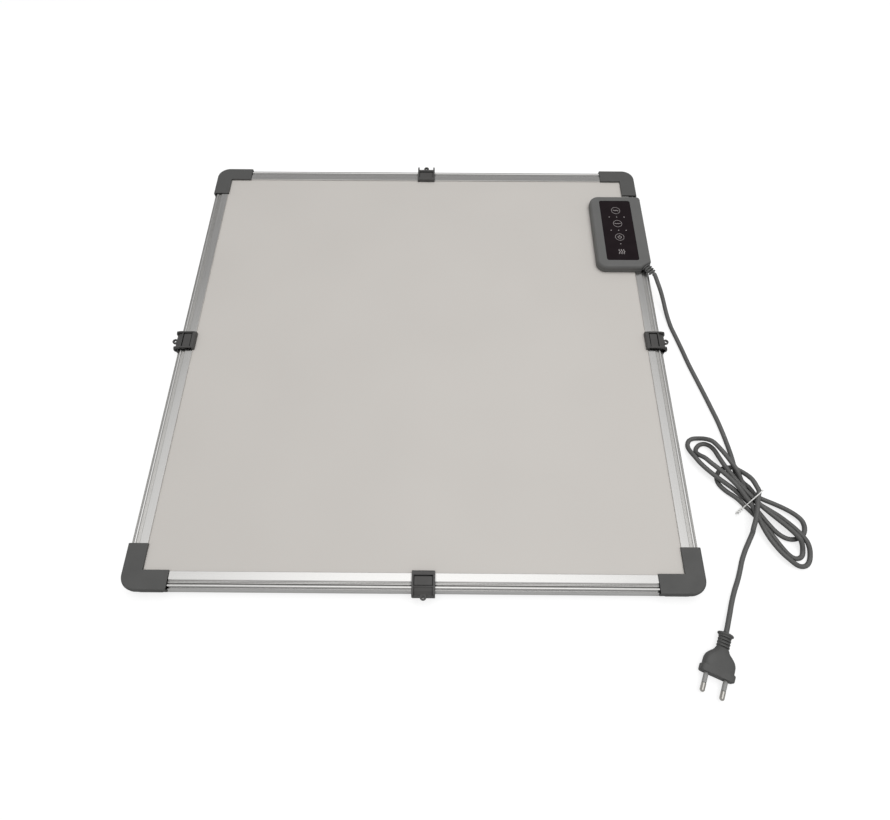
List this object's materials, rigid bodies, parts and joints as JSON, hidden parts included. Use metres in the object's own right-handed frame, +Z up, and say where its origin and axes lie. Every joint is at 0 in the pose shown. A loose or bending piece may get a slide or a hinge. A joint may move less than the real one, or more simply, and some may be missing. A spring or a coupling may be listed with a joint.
{
  "type": "under desk heater panel",
  "caption": "Flat square heating panel in an aluminium frame, with sliding mounting clips, a touch controller and a tied mains lead ending in a two-pin plug.",
  "frame": {"origin": "on the surface that the panel lies on, below the middle of the panel", "axes": "+Z up out of the heated face, +X to the edge with the controller, -Y to the near edge"},
  "size_m": [0.7372, 0.708, 0.0285],
  "materials": {
    "front_coating": "fine textured coating",
    "back_coating": "matte coating",
    "anodised_aluminium": "satin anodised",
    "cap_plastic": "fine grain",
    "case_plastic": "fine grain",
    "lens_black": "glossy",
    "carbon_film": "matte",
    "copper": "bare copper",
    "core_foam": "open foam",
    "pad_foam": "foam tape",
    "board_green": "solder mask",
    "part_green": "moulded",
    "part_black": "moulded",
    "light_white": "clear",
    "lead_sheath": "silicone",
    "screw_steel": "plated",
    "cord_sheath": "matte",
    "tie_plastic": "smooth",
    "plug_plastic": "matte",
    "sleeve_plastic": "smooth",
    "pin_metal": "nickel plated"
  },
  "bodies": {
    "panel": {"adhesive_pad": "pad_foam", "back_sheet": "back_coating", "busbar_feed": "copper", "busbar_return": "copper", "case_screw_1": "screw_steel", "case_screw_2": "screw_steel", "case_screw_3": "screw_steel", "case_screw_4": "screw_steel", "circuit_board": "board_green", "controller_base": "case_plastic", "controller_cover": "case_plastic", "cord_hank": "cord_sheath", "cord_lead": "cord_sheath", "cord_relief": "cord_sheath", "cord_tail": "cord_sheath", "cord_tie": "tie_plastic", "corner_cap_far_left": "cap_plastic", "corner_cap_far_right": "cap_plastic", "corner_cap_near_left": "cap_plastic", "corner_cap_near_right": "cap_plastic", "filter_capacitor": "part_black", "front_sheet": "front_coating", "heater_lead_feed": "lead_sheath", "heater_lead_return": "lead_sheath", "heating_film": "carbon_film", "indicator_light_1": "light_white", "indicator_light_2": "light_white", "indicator_light_3": "light_white", "indicator_light_4": "light_white", "indicator_light_5": "light_white", "indicator_light_6": "light_white", "indicator_light_7": "light_white", "insulation_core": "core_foam", "mains_core_live": "lead_sheath", "mains_core_neutral": "lead_sheath", "pin_sleeve_left": "sleeve_plastic", "pin_sleeve_right": "sleeve_plastic", "plug_body": "plug_plastic", "plug_pin_left": "pin_metal", "plug_pin_right": "pin_metal", "power_switch": "part_black", "rail_far": "anodised_aluminium", "rail_left": "anodised_aluminium", "rail_near": "anodised_aluminium", "rail_right": "anodised_aluminium", "temperature_sensor": "lead_sheath", "terminal_block": "part_green", "touch_lens": "lens_black"},
    "near_clip": {"clip_near": "cap_plastic"},
    "right_clip": {"clip_right": "cap_plastic"},
    "far_clip": {"clip_far": "cap_plastic"},
    "left_clip": {"clip_left": "cap_plastic"}
  },
  "joints": [
    {"name": "near_clip_slide", "type": "slide", "parent": "panel", "child": "near_clip", "axis": [1, 0, 0], "range_m": [-0.2508, 0.2298]},
    {"name": "right_clip_slide", "type": "slide", "parent": "panel", "child": "right_clip", "axis": [0, 1, 0], "range_m": [-0.2463, 0.06]},
    {"name": "far_clip_slide", "type": "slide", "parent": "panel", "child": "far_clip", "axis": [-1, 0, 0], "range_m": [-0.2393, 0.2413]},
    {"name": "left_clip_slide", "type": "slide", "parent": "panel", "child": "left_clip", "axis": [0, -1, 0], "range_m": [-0.2387, 0.2419]}
  ]
}
